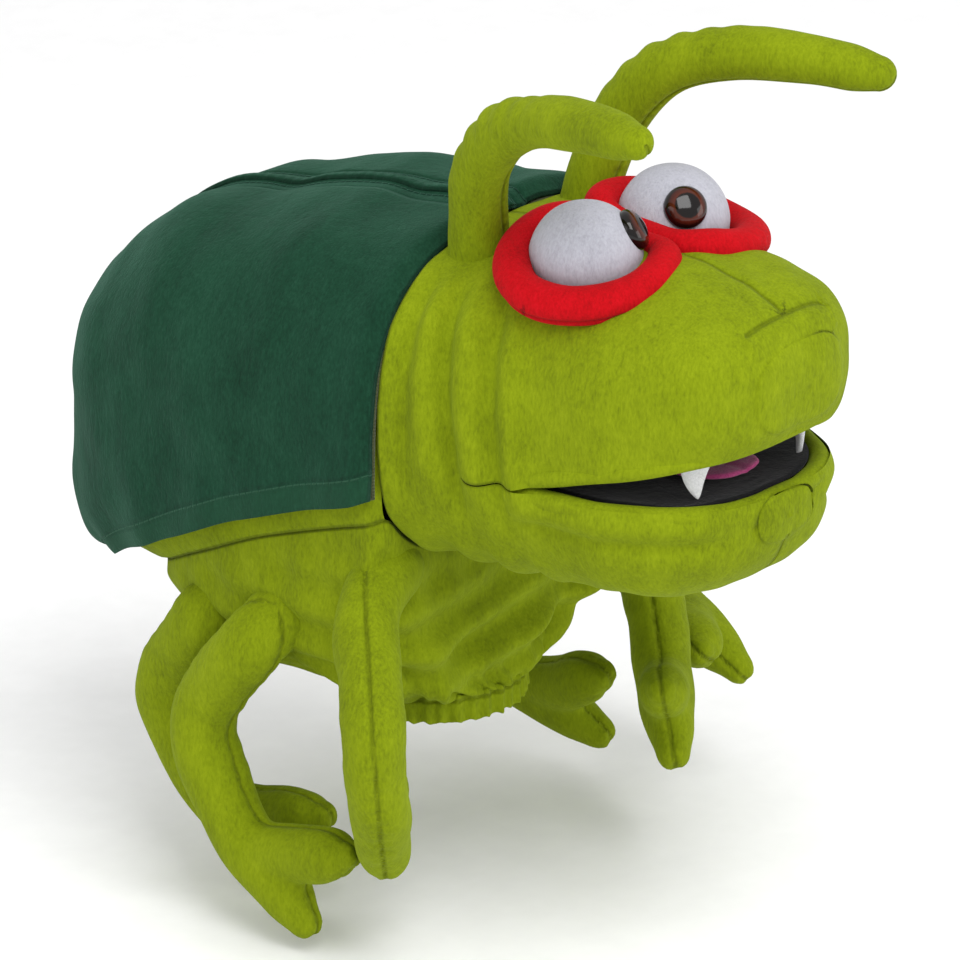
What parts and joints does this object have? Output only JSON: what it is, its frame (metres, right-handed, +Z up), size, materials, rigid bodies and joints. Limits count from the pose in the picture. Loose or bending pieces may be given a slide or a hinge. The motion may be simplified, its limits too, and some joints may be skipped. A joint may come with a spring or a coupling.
{
  "type": "moving mouth puppet",
  "caption": "Plush beetle hand puppet with a hinged lower jaw, a domed wing cover, bent stuffed legs and curved antennae on the head.",
  "frame": {"origin": "centre of the cuff's open bottom rim, where the hand goes in", "axes": "+Z up along the forearm, -Y towards the nose, +X towards the puppet's left side"},
  "size_m": [0.2972, 0.375, 0.4039],
  "materials": {
    "lime_plush": "short-pile plush",
    "green_plush": "short-pile plush",
    "lining_cloth": "plain woven lining",
    "black_cloth": "brushed lining",
    "red_plush": "short-pile plush",
    "white_plush": "short-pile plush",
    "white_felt": "felt",
    "pink_felt": "felt",
    "stuffing": "polyester fibre fill",
    "board": "stiff mouth board",
    "elastic": "flat elastic",
    "eye_plastic": "glossy dome",
    "washer_plastic": "moulded"
  },
  "bodies": {
    "torso": {"abdomen_stuffing_left": "stuffing", "abdomen_stuffing_right": "stuffing", "belly_skin": "lime_plush", "cuff_casing": "lime_plush", "cuff_elastic": "elastic", "hand_sleeve_left": "lining_cloth", "hand_sleeve_right": "lining_cloth", "torso_skin": "lime_plush"},
    "antenna_left": {"antenna_skin_left": "lime_plush", "antenna_stuffing_left": "stuffing"},
    "antenna_right": {"antenna_skin_right": "lime_plush", "antenna_stuffing_right": "stuffing"},
    "head": {"eye_button_left": "eye_plastic", "eye_button_right": "eye_plastic", "eye_washer_left": "washer_plastic", "eye_washer_right": "washer_plastic", "eyeball_skin_left": "white_plush", "eyeball_skin_right": "white_plush", "eyeball_stuffing_left": "stuffing", "eyeball_stuffing_right": "stuffing", "eyelid_left": "red_plush", "eyelid_right": "red_plush", "fang_left": "white_felt", "fang_right": "white_felt", "finger_pocket": "lining_cloth", "head_skin": "lime_plush", "head_stuffing": "stuffing", "neck_skin": "lime_plush", "upper_mouth_board": "board", "upper_mouth_lining": "black_cloth"},
    "lower_jaw": {"jaw_skin": "lime_plush", "jaw_stuffing": "stuffing", "lower_mouth_board": "board", "lower_mouth_lining": "black_cloth", "thumb_pocket": "lining_cloth", "tongue": "pink_felt"},
    "leg_front_left": {"leg_skin_front_left": "lime_plush", "leg_stuffing_front_left": "stuffing"},
    "leg_front_right": {"leg_skin_front_right": "lime_plush", "leg_stuffing_front_right": "stuffing"},
    "leg_middle_left": {"leg_skin_middle_left": "lime_plush", "leg_stuffing_middle_left": "stuffing"},
    "leg_middle_right": {"leg_skin_middle_right": "lime_plush", "leg_stuffing_middle_right": "stuffing"},
    "leg_rear_left": {"leg_skin_rear_left": "lime_plush", "leg_stuffing_rear_left": "stuffing"},
    "leg_rear_right": {"leg_skin_rear_right": "lime_plush", "leg_stuffing_rear_right": "stuffing"},
    "wing_cover": {"wing_case_left": "green_plush", "wing_case_right": "green_plush", "wing_lining_left": "lining_cloth", "wing_lining_right": "lining_cloth", "wing_seam_ridge": "green_plush"}
  },
  "joints": [
    {"name": "head_nod", "type": "hinge", "parent": "torso", "child": "head", "pos_m": [0, -0.045, 0.205], "axis": [1, 0, 0], "range_deg": [-10, 12], "deforming": ["neck_skin"]},
    {"name": "jaw_open", "type": "hinge", "parent": "head", "child": "lower_jaw", "pos_m": [0, -0.102, 0.139], "axis": [1, 0, 0], "range_deg": [-10, 22], "deforming": ["fang_right", "fang_left"]},
    {"name": "wing_lift", "type": "hinge", "parent": "torso", "child": "wing_cover", "pos_m": [0, -0.038, 0.226], "axis": [1, 0, 0], "range_deg": [0, 12]},
    {"name": "antenna_right_bend", "type": "hinge", "parent": "head", "child": "antenna_right", "pos_m": [-0.034, -0.054, 0.223], "axis": [1, 0, 0], "range_deg": [-5, 9], "stiffness_Nm_per_rad": 0.12},
    {"name": "antenna_left_bend", "type": "hinge", "parent": "head", "child": "antenna_left", "pos_m": [0.034, -0.054, 0.223], "axis": [1, 0, 0], "range_deg": [-5, 9], "stiffness_Nm_per_rad": 0.12},
    {"name": "leg_front_right_swing", "type": "hinge", "parent": "torso", "child": "leg_front_right", "pos_m": [-0.08, -0.031, 0.086], "axis": [1, 0, 0], "range_deg": [-18, 3]},
    {"name": "leg_front_left_swing", "type": "hinge", "parent": "torso", "child": "leg_front_left", "pos_m": [0.084, -0.037, 0.086], "axis": [1, 0, 0], "range_deg": [-18, 3]},
    {"name": "leg_middle_right_swing", "type": "hinge", "parent": "torso", "child": "leg_middle_right", "pos_m": [-0.085, 0.017, 0.06], "axis": [0, 1, 0], "range_deg": [-1, 16]},
    {"name": "leg_middle_left_swing", "type": "hinge", "parent": "torso", "child": "leg_middle_left", "pos_m": [0.084, 0.022, 0.06], "axis": [0, 1, 0], "range_deg": [-14, 1]},
    {"name": "leg_rear_right_swing", "type": "hinge", "parent": "torso", "child": "leg_rear_right", "pos_m": [-0.07, 0.058, 0.054], "axis": [1, 0, 0], "range_deg": [-2, 18]},
    {"name": "leg_rear_left_swing", "type": "hinge", "parent": "torso", "child": "leg_rear_left", "pos_m": [0.07, 0.056, 0.05], "axis": [1, 0, 0], "range_deg": [-4, 18]}
  ]
}
